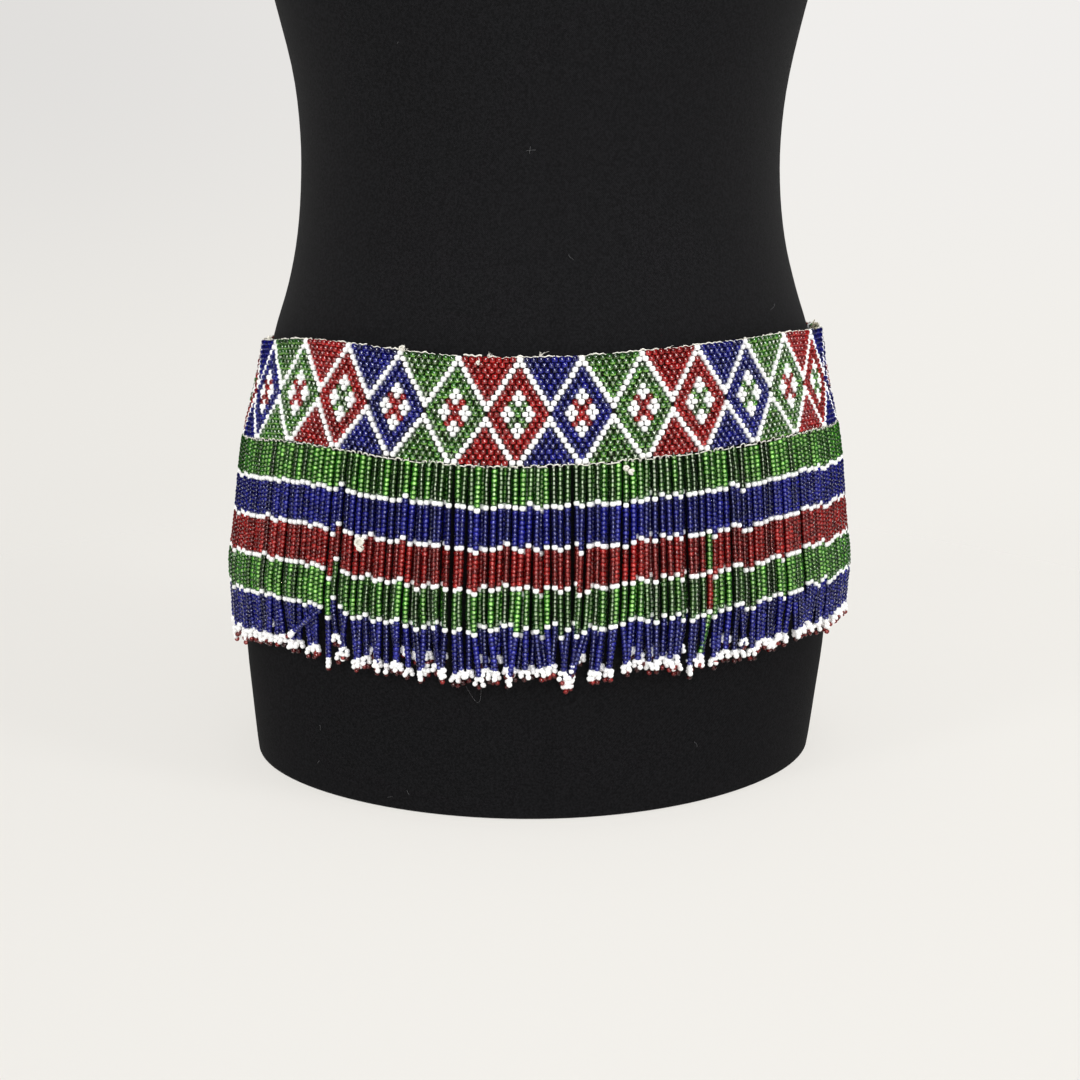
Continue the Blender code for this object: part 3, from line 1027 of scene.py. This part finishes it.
def hang_beads(beads, strand, colours, length, tone, random):
    """Threads a strand's beads from its root down, and gives how far down they end."""
    white = np.array(colours) == "white"
    lengths = length * np.where(white, STRAND_WHITE_LENGTH / STRAND_BEAD_LENGTH, 1)
    radii = np.where(white, STRAND_WHITE_RADIUS, STRAND_BEAD_RADIUS)
    places = np.cumsum(lengths) - lengths / 2
    step = 0.0004
    ahead = unit(strand.points(places + step) - strand.points(places - step))
    for k, (colour, point) in enumerate(zip(colours, strand.points(places))):
        axis = ahead[k] + random.normal(0, STRAND_TILTS, 3)
        radius = radii[k] * random.normal(1, STRAND_SPREAD[0])
        half = lengths[k] * BEAD_FILLS * random.normal(1, STRAND_SPREAD[1])
        own = random.uniform(*(WHITE_TONES if white[k] else STRAND_BEAD_TONES))
        beads[colour].add(point, axis, radius, half, own * tone ** TONE_RANGE[colour])
    return lengths.sum()


def hang_loop(beads, strand, drop, random):
    """The small loop of white beads at a strand's end, with a red one lowest."""
    end, above = strand.points(np.array([drop, drop - 0.002]))
    down = unit(end - above)
    _, out = belt_frame(angle_at(strand.arc), BAND_BOTTOM)
    turn = random.uniform(-LOOP_TURN, LOOP_TURN)
    aside = turned(turn, np.cross(out, UP), out)
    stray, drop_stray, tilt = LOOP_STRAYS
    for offset, below, lean in LOOP_WHITES:
        sideways = aside * (offset + random.normal(0, stray))
        point = end + sideways + down * (below + random.normal(0, drop_stray))
        axis = down + lean * aside + random.normal(0, tilt, 3)
        radius = LOOP_BEAD_RADIUS * random.normal(1, STRAND_SPREAD[0])
        beads["white"].add(point, axis, radius, LOOP_BEAD_HALF, random.uniform(*WHITE_TONES))
    stray, drop_stray, tilt = LOOP_RED_STRAYS
    for offset in LOOP_REDS[random.integers(len(LOOP_REDS))]:
        sideways = aside * (offset + random.normal(0, stray))
        point = end + sideways + down * (LOOP_RED + random.normal(0, drop_stray))
        axis = aside + random.normal(0, tilt, 3)
        tone = random.uniform(*LOOP_TONES)
        beads["tip"].add(point, axis, LOOP_BEAD_RADIUS, LOOP_BEAD_HALF, tone)


def uneven_counts(random, chance):
    """How many beads each section of one strand has, now and then one more or fewer."""
    extra = random.choice((-1, 0, 1), len(BEADS_A_SECTION), p=(chance, 1 - 2 * chance, chance))
    return np.array(BEADS_A_SECTION) + extra


def hip_share(arc):
    """0 over the belly and 1 at the hips, for a strand at an arc length from the front."""
    steep, start = HIP_RISE
    return np.clip(abs(np.sin(angle_at(arc))) * steep - start, 0, 1)


def column_arcs():
    """Where each bead column stands, along the belt from its centre front."""
    return (np.arange(COLUMNS) + 0.5) * BEAD_PITCH - BELT_LENGTH / 2


def strand_spread(sides, random):
    """Where each strand hangs from, along the belt, and how far its end drifts aside."""
    wander = random.normal(0, 1, COLUMNS + 12)
    window = np.hanning(7) / np.sqrt((np.hanning(7) ** 2).sum())
    clump = CLUMP_REACH * np.convolve(wander, window, "same")[6:-6]
    own = OWN_DRIFT * random.normal(size=COLUMNS)
    drifts = np.clip((clump + own) * (1 - SIDE_CALM * sides), -DRIFT_LIMIT, DRIFT_LIMIT)
    strays = random.normal(0, ROOT_STRAY, COLUMNS) * (1 - SIDE_STEADY * sides)
    return column_arcs() + strays, drifts


def hang_strand(beads, threads, side, sections, place, random):
    """One strand with its beads, end loop and thread, in its place."""
    arc, drift, swing, depth, flare = place
    root = STRAND_ROOT + random.uniform(0, ROOT_SPREAD)
    bow = random.normal(0, BOW_SPREAD) * (1 - SIDE_STEADY * side)
    strand = Strand(arc, root, drift, bow, swing, depth, flare)
    length = STRAND_BEAD_LENGTH * random.normal(1, LENGTH_SPREAD * (1 - 0.5 * side))
    # Painted light at the hips: the lighter tones are likelier there.
    chances = (1 - side) * np.array(FRONT_CHANCES) + side * np.array(HIP_PAINTED_LIGHT_CHANCES)
    tone = random.choice(STRAND_TONES, p=chances)
    counts = uneven_counts(random, UNEVEN_CHANCE * (1 - 0.6 * side))
    if depth < 0:
        counts[-1] -= random.integers(*BACK_SHORTER)
    colours = bead_colours(sections, counts)
    drop = hang_beads(beads, strand, colours, length, tone, random)
    hang_loop(beads, strand, drop, random)
    drops = np.linspace(STRAND_ROOT - ROOT_SPREAD, drop, CORE_STEPS)
    wobble = random.normal(0, CORE_WOBBLE, (CORE_STEPS, 3)) * (1, 1, 0)
    radius = CORE_RADIUS * random.uniform(*CORE_SHARES) * (1 - SIDE_THIN * side)
    threads.add(strand.points(drops) + wobble, radius, drops / length)


def make_fringe(surfaces, core):
    """A strand below each bead column, and more behind the widest gaps."""
    random = np.random.default_rng(STRAND_SEED)
    beads = {colour: Beads() for colour in surfaces}
    threads = Tubes(4)
    arcs = column_arcs()
    swapped = np.argmin(abs(arcs - SWAPPED_STRAND_ARC))
    flicked = np.argmin(abs(arcs - FLICKED_STRAND_ARC))
    sides = hip_share(arcs)
    roots, drifts = strand_spread(sides, random)
    gaps = np.diff(roots + GAP_SHARE * drifts)
    backed = set(np.argsort(gaps)[-BACK_STRANDS:])
    for k, side in enumerate(sides):
        sections = SWAPPED_SECTIONS if k == swapped else SECTIONS
        swing = FLICKED_STRAND_SWING if k == flicked else random.normal(0, SWING_SPREAD)
        flare = random.normal(0, FLARE_SPREAD)
        depth = FRONT_DEPTH + ALTERNATE_DEPTH * (k % 2)
        front = (roots[k], drifts[k], swing, depth, flare)
        hang_strand(beads, threads, side, sections, front, random)
        if k in backed:
            behind = (roots[k : k + 2].mean(), drifts[k : k + 2].mean(), swing, -BACK_DEPTH, 0.0)
            hang_strand(beads, threads, side, sections, behind, random)
    thread_piece = threads.build("fringe_threads", core, "cotton", "belt_fringe")
    return [thread_piece, *join_beads(beads, "fringe", STRAND_SHAPES, surfaces, STRAND_TURNS_SEED)]


# ---- threads along the edges ----


EDGE_THREAD = 0.00028
ARCH_THREAD = 0.00028
EDGE_SEED = 8
POINTS_A_BEAD = 5
STITCH_REACH = (0.008, 0.030)  # how long the edge thread stays in sight
STITCH_GAP = (-0.003, 0.004)  # from one stitch's end to the next one's start
EDGE_WAVE = 0.0002  # how far it rises over a bead
EDGE_SLACK = 0.0005
EDGE_OUT = (0.0003, 0.0004)  # how far out it lies, and how far it sways from that
EDGE_SWELL = (0.6, 1.7)  # of its radius, where it is drawn down and where it stands up
SWELL_RISE = 0.0006  # the rise that doubles its radius
ARCH_RISE = 0.0017
ARCH_RISES = (0.2, 1.25)  # shares of that rise
ARCH_THICKNESS = (0.7, 1.4)  # shares of its thread's radius
ARCH_FOOT = 0.0012  # below the band
ARCH_OUT = (0.0009, 0.0006)  # how far out it lies, and how much more at its middle
ARCH_STRAY = 0.0004
LOOSE_THREAD = 0.00016
FRAYED_THREAD = 0.00017
TANGLE_STEPS = 170
TANGLE_WAVES = (4.3, 9.1, 5.7)  # up and down, sideways, and in and out
KNOT_THREAD = 0.00026
KNOT_THICKENS = 0.15  # thicker cord in a wider knot
KNOT_DEPTH = 0.0008
KNOT_OUT = 0.0030  # from the beadwork's middle

# Knots in the thread that show between the beads: along the band, height, half width and
# half height.
KNOTS = (
    (-0.1920, 0.2576, 0.0010, 0.0009),
    (-0.1020, 0.1538, 0.0024, 0.0034),
    (-0.0885, 0.2578, 0.0012, 0.0011),
    (-0.0470, 0.2536, 0.0007, 0.0008),
    (0.0284, 0.1979, 0.0012, 0.0011),
    (0.0309, 0.1958, 0.0013, 0.0012),
)

# Where loose thread ends stand up from the band's upper edge: along the band, how many, how
# long, and how far they lie over.
LOOSE_ENDS = (
    (-0.0880, 3, 0.0016, 0.5),
    (-0.0420, 5, 0.0030, 0.6),
    (-0.0150, 5, 0.0028, 0.5),
    (0.0560, 2, 0.0015, 0.8),
    (0.1250, 2, 0.0014, 0.7),
)
FRAYED_CORNER = (0.1800, 0.2588, 26, 0.0075)  # along the band, height, hairs, reach


def edge_line(random):
    """The thread along the band's upper edge, slack in places and out of sight in others."""
    tubes = Tubes(5)
    end = BELT_LENGTH / 2 - 0.001
    start = -end
    while start < end - 0.003:
        reach = min(random.uniform(*STITCH_REACH), end - start)
        arcs = np.linspace(start, start + reach, int(reach / BEAD_PITCH * POINTS_A_BEAD) + 2)
        phase = 2 * np.pi * arcs / BEAD_PITCH + random.uniform(-0.6, 0.6)
        slack = random.normal(0, EDGE_SLACK, len(arcs) + 8)
        slack = np.convolve(slack, np.hanning(9) / 4, "valid")
        heights = BAND_TOP + EDGE_WAVE + EDGE_WAVE * np.cos(phase) + slack
        outward = EDGE_OUT[0] + EDGE_OUT[1] * np.sin(phase / 2)
        radius = EDGE_THREAD * np.clip(1 + slack / SWELL_RISE, *EDGE_SWELL)
        tubes.add(belt_points(angle_at(arcs), heights, outward), radius)
        start += reach + random.uniform(*STITCH_GAP)
    return tubes


def junction_arches(random):
    """Thread that comes out of each strand and arches over to the next."""
    tubes = Tubes(4)
    across = np.linspace(0, 1, 6)
    for arc in column_arcs()[:-1]:
        rise = ARCH_RISE * random.uniform(*ARCH_RISES) * np.sin(np.pi * across) ** 0.6
        stray = random.normal(0, ARCH_STRAY, 2) @ (1 - across, across)
        sway = arc + BEAD_PITCH * across + stray
        outward = ARCH_OUT[0] + ARCH_OUT[1] * np.sin(np.pi * across)
        radius = ARCH_THREAD * random.uniform(*ARCH_THICKNESS)
        tubes.add(belt_points(angle_at(sway), BAND_BOTTOM - ARCH_FOOT + rise, outward), radius)
    return tubes


def tangle(centre, along, wide, tall, random):
    """A path of thread wound up into a rough knot, wider at its top."""
    t = 2 * np.pi * np.linspace(0, 1, TANGLE_STEPS)
    upward, aside, outward = TANGLE_WAVES
    rise = np.sin(upward * t + random.uniform(0, 0.5))
    chord = np.sqrt(1 - 0.85 * rise**2) * (1 + 0.35 * rise)
    sideways = wide * chord * np.sin(aside * t + 1.0)
    forward = KNOT_DEPTH * np.sin(outward * t)
    flat = sideways[:, None] * along + forward[:, None] * np.cross(UP, along)
    return centre + flat + (tall * rise)[:, None] * UP


def loose_thread(random):
    """Knots, and ends that stand up from the upper edge."""
    tubes = Tubes(5)
    for arc, height, wide, tall in KNOTS:
        point, out = belt_frame(angle_at(arc), np.array(height))
        along = np.cross(out, UP)
        thread = KNOT_THREAD + KNOT_THICKENS * wide
        tubes.add(tangle(point + KNOT_OUT * out, along, wide, tall, random), thread)
    for arc, count, reach, lean in LOOSE_ENDS:
        for _ in range(count):
            share = np.linspace(0, 1, 6)
            over = random.normal(0, lean)
            aside = arc + random.normal(0, 0.0008) + reach * over * share**2
            up = BAND_TOP + reach * random.uniform(0.5, 1) * share
            outward = random.normal(0, 0.0005) + 0.0006 * share
            tubes.add(belt_points(angle_at(aside), up, outward), LOOSE_THREAD * (1.3 - share))
    return tubes


def frayed_corner(random):
    """Worn thread that has come loose on the upper edge, far right in the photo."""
    tubes = Tubes(4)
    arc, height, count, reach = FRAYED_CORNER
    for _ in range(count):
        share = np.linspace(0, 1, 8)
        curl = random.normal(0, 0.0009) * np.sin(np.pi * share * random.uniform(1, 2.5))
        aside = arc + reach * (random.uniform(-0.5, 0.3) + 0.5 * share)
        up = height + random.normal(0, 0.0009) + curl
        outward = random.normal(0, 0.0010) + 0.5 * curl
        tubes.add(belt_points(angle_at(aside), up, outward), FRAYED_THREAD)
    return tubes


def make_edge_threads(thread):
    random = np.random.default_rng(EDGE_SEED)
    worn = cotton("worn_thread", *WORN_COLOURS)
    return [
        edge_line(random).build("edge_thread", thread, "cotton", "belt_band"),
        junction_arches(random).build("junction_thread", thread, "cotton", "belt_fringe"),
        loose_thread(random).build("loose_thread", thread, "cotton", "belt_band"),
        frayed_corner(random).build("frayed_thread", worn, "cotton", "belt_band"),
    ]


# ---- stage ----

FLOOR_REACH = 3.0
FLOOR_FADES = (0.38, 1.1)  # from the form's middle: the floor gives way to the pale surround
PALE_FLOOR = (0.15, 0.147, 0.141)
FLOOR_GLOW = 0.79  # so that shadows on the floor stay faint, as under a pale tent
FLOOR_SIDES = (-0.5, 0.0)
# Painted shade: the floor's glow is dimmer on the left.
FLOOR_LEFT_PAINTED_SHADE = 0.94  # of that glow, on the left
FLOOR_LEVEL = -0.0002
SURROUND_REACH = 14.0
SURROUND_RINGS = 24
SURROUND_AROUND = 48
STRAIGHT_UP = 0.499  # half turns from level, a little less than one half
SURROUND_HEIGHTS = (-0.15 * SURROUND_REACH, 0.12 * SURROUND_REACH)
SURROUND_SIDES = (4.0, -4.5)
# Painted shade: the surround is made darker on the left, more so above.
SURROUND_PAINTED_SHADE = (0.08, 0.06)  # darker on the left: how much more above, and how much below
SURROUND_HIGH = (0.870, 0.855, 0.835)
SURROUND_LOW = (0.885, 0.865, 0.825)
ROOM_LIGHT = 0.72
ROOM_COLOUR = (1.0, 0.985, 0.96, 1)


def make_floor():
    """A pale floor that fades out into the surround."""
    glow_colour = (*SURROUND_LOW, 1)
    unlit = {"Specular_IOR_Level": 0.0, "Emission_Color": glow_colour}
    surface = Surface("pale_floor", 0.9, PALE_FLOOR, **unlit)
    place = surface.node("TexCoord").outputs["Object"]
    away = surface.node("VectorMath", {0: place}, operation="LENGTH").outputs["Value"]
    surface.set(surface.shader.inputs["Alpha"], surface.ramp(away, *FLOOR_FADES, 1.0, 0.0))
    rightward = surface.node("SeparateXYZ", {0: place}).outputs[0]
    # Painted shade on the left of the floor.
    glow = surface.ramp(rightward, *FLOOR_SIDES, FLOOR_GLOW * FLOOR_LEFT_PAINTED_SHADE, FLOOR_GLOW)
    surface.set(surface.shader.inputs["Emission Strength"], glow)
    sides = ((-1, -1), (1, -1), (1, 1), (-1, 1))
    corners = [(x * FLOOR_REACH, y * FLOOR_REACH, FLOOR_LEVEL) for x, y in sides]
    make_object("floor", corners, [(0, 1, 2, 3)], surface.material)


def surround_glow():
    """A pale glow, with painted shade: a little darker above and on the left."""
    surface = Surface("pale_surround", 1.0)
    place = surface.node("SeparateXYZ", {0: surface.node("TexCoord").outputs["Object"]})
    share = surface.ramp(place.outputs[2], *SURROUND_HEIGHTS)
    left = surface.ramp(place.outputs[0], *SURROUND_SIDES)
    shade = surface.math("MULTIPLY", left, surface.math("MULTIPLY_ADD", share, *SURROUND_PAINTED_SHADE))
    colour = surface.mix(share, SURROUND_LOW, SURROUND_HIGH)
    shaded = surface.scaled(colour, surface.math("SUBTRACT", 1.0, shade))
    surface.show(surface.node("Emission", {0: shaded}).outputs[0])
    return surface.material


def make_surround():
    """A pale dome all round, which only the camera sees."""
    points = [
        SURROUND_REACH * np.array((
            np.cos(lean) * np.cos(turn),
            np.cos(lean) * np.sin(turn),
            np.sin(lean),
        ))
        for lean in np.linspace(-STRAIGHT_UP, STRAIGHT_UP, SURROUND_RINGS) * np.pi
        for turn in full_turn(SURROUND_AROUND)
    ]
    faces = loft_faces(SURROUND_RINGS, SURROUND_AROUND)
    dome = make_object("surround", points, faces, surround_glow())
    dome.visible_diffuse = False
    dome.visible_glossy = False
    dome.visible_transmission = False
    dome.visible_shadow = False


def make_stage():
    make_floor()
    make_surround()
    world = bpy.data.worlds.new("world")
    world.use_nodes = True
    sky = world.node_tree.nodes["Background"]
    sky.inputs["Color"].default_value = ROOM_COLOUR
    sky.inputs["Strength"].default_value = ROOM_LIGHT
    world.cycles_visibility.glossy = False
    bpy.context.scene.world = world


LIGHTS_AT = (0, 0, 0.2)
# Each area light's place, size and power, and whether it lights matt surfaces or glints.
LIGHTS = {
    "front_box": ((0.05, -2.3, 0.85), (0.30, 1.2), 16, "glossy"),
    "front_fill": ((0.05, -2.3, 0.85), (1.0, 1.2), 7, "diffuse"),
    "left_box": ((-1.9, -1.3, 1.3), (0.4, 1.2), 23, "diffuse"),
    "right_box": ((1.9, -1.2, 1.5), (0.5, 1.2), 27, "diffuse"),
    "top_box": ((0.2, -0.3, 2.4), (1.0, 1.0), 14, "diffuse"),
    "glint_high": ((-0.7, -2.0, 1.7), (0.40, 0.40), 36, "glossy"),
    "glint_front": ((0.25, -2.2, 0.6), (0.40, 0.50), 30, "glossy"),
}


def make_lights():
    for name, (place, size, power, lit) in LIGHTS.items():
        data = bpy.data.lights.new(name, "AREA")
        data.shape = "RECTANGLE"
        data.size, data.size_y = size
        data.energy = power
        light = bpy.data.objects.new(name, data)
        light.location = place
        aim = Vector(LIGHTS_AT) - Vector(place)
        light.rotation_euler = aim.to_track_quat("-Z", "Y").to_euler()
        light.visible_diffuse = lit == "diffuse"
        light.visible_glossy = lit == "glossy"
        bpy.context.scene.collection.objects.link(light)


# ---- everything ----


def bead_looks():
    """Each bead colour's material, on the band and down the fringe."""
    band = {}
    strand = {}
    for colour in GLASS:
        band[colour] = glass_beads(f"{colour}_band_glass", colour, BAND_OPTICS)
        strand[colour] = glass_beads(f"{colour}_strand_glass", colour, STRAND_OPTICS)
    band["white"] = strand["white"] = white_beads()
    strand["tip"] = glass_beads("red_tip_glass", "red", STRAND_OPTICS, TIP_CLOUD)
    return band, strand


def make_beadwork(thread):
    """The net as one stretched sheet, dark with painted shade, and all that is strung and sewn on
    it.
    """
    core = core_thread()
    band_looks, strand_looks = bead_looks()
    ground = make_shade_ground()
    beads = make_band(band_looks, core)
    fringe = make_fringe(strand_looks, core)
    edges = make_edge_threads(thread)


def main():
    make_camera()
    thread = cotton("cotton_thread", *COTTON_COLOURS)
    make_ties(thread)
    make_form()
    make_lint(cotton("lint", *LINT_COLOURS))
    make_beadwork(thread)
    make_stage()
    make_lights()
    bpy.context.scene.view_settings.view_transform = "Standard"


main()
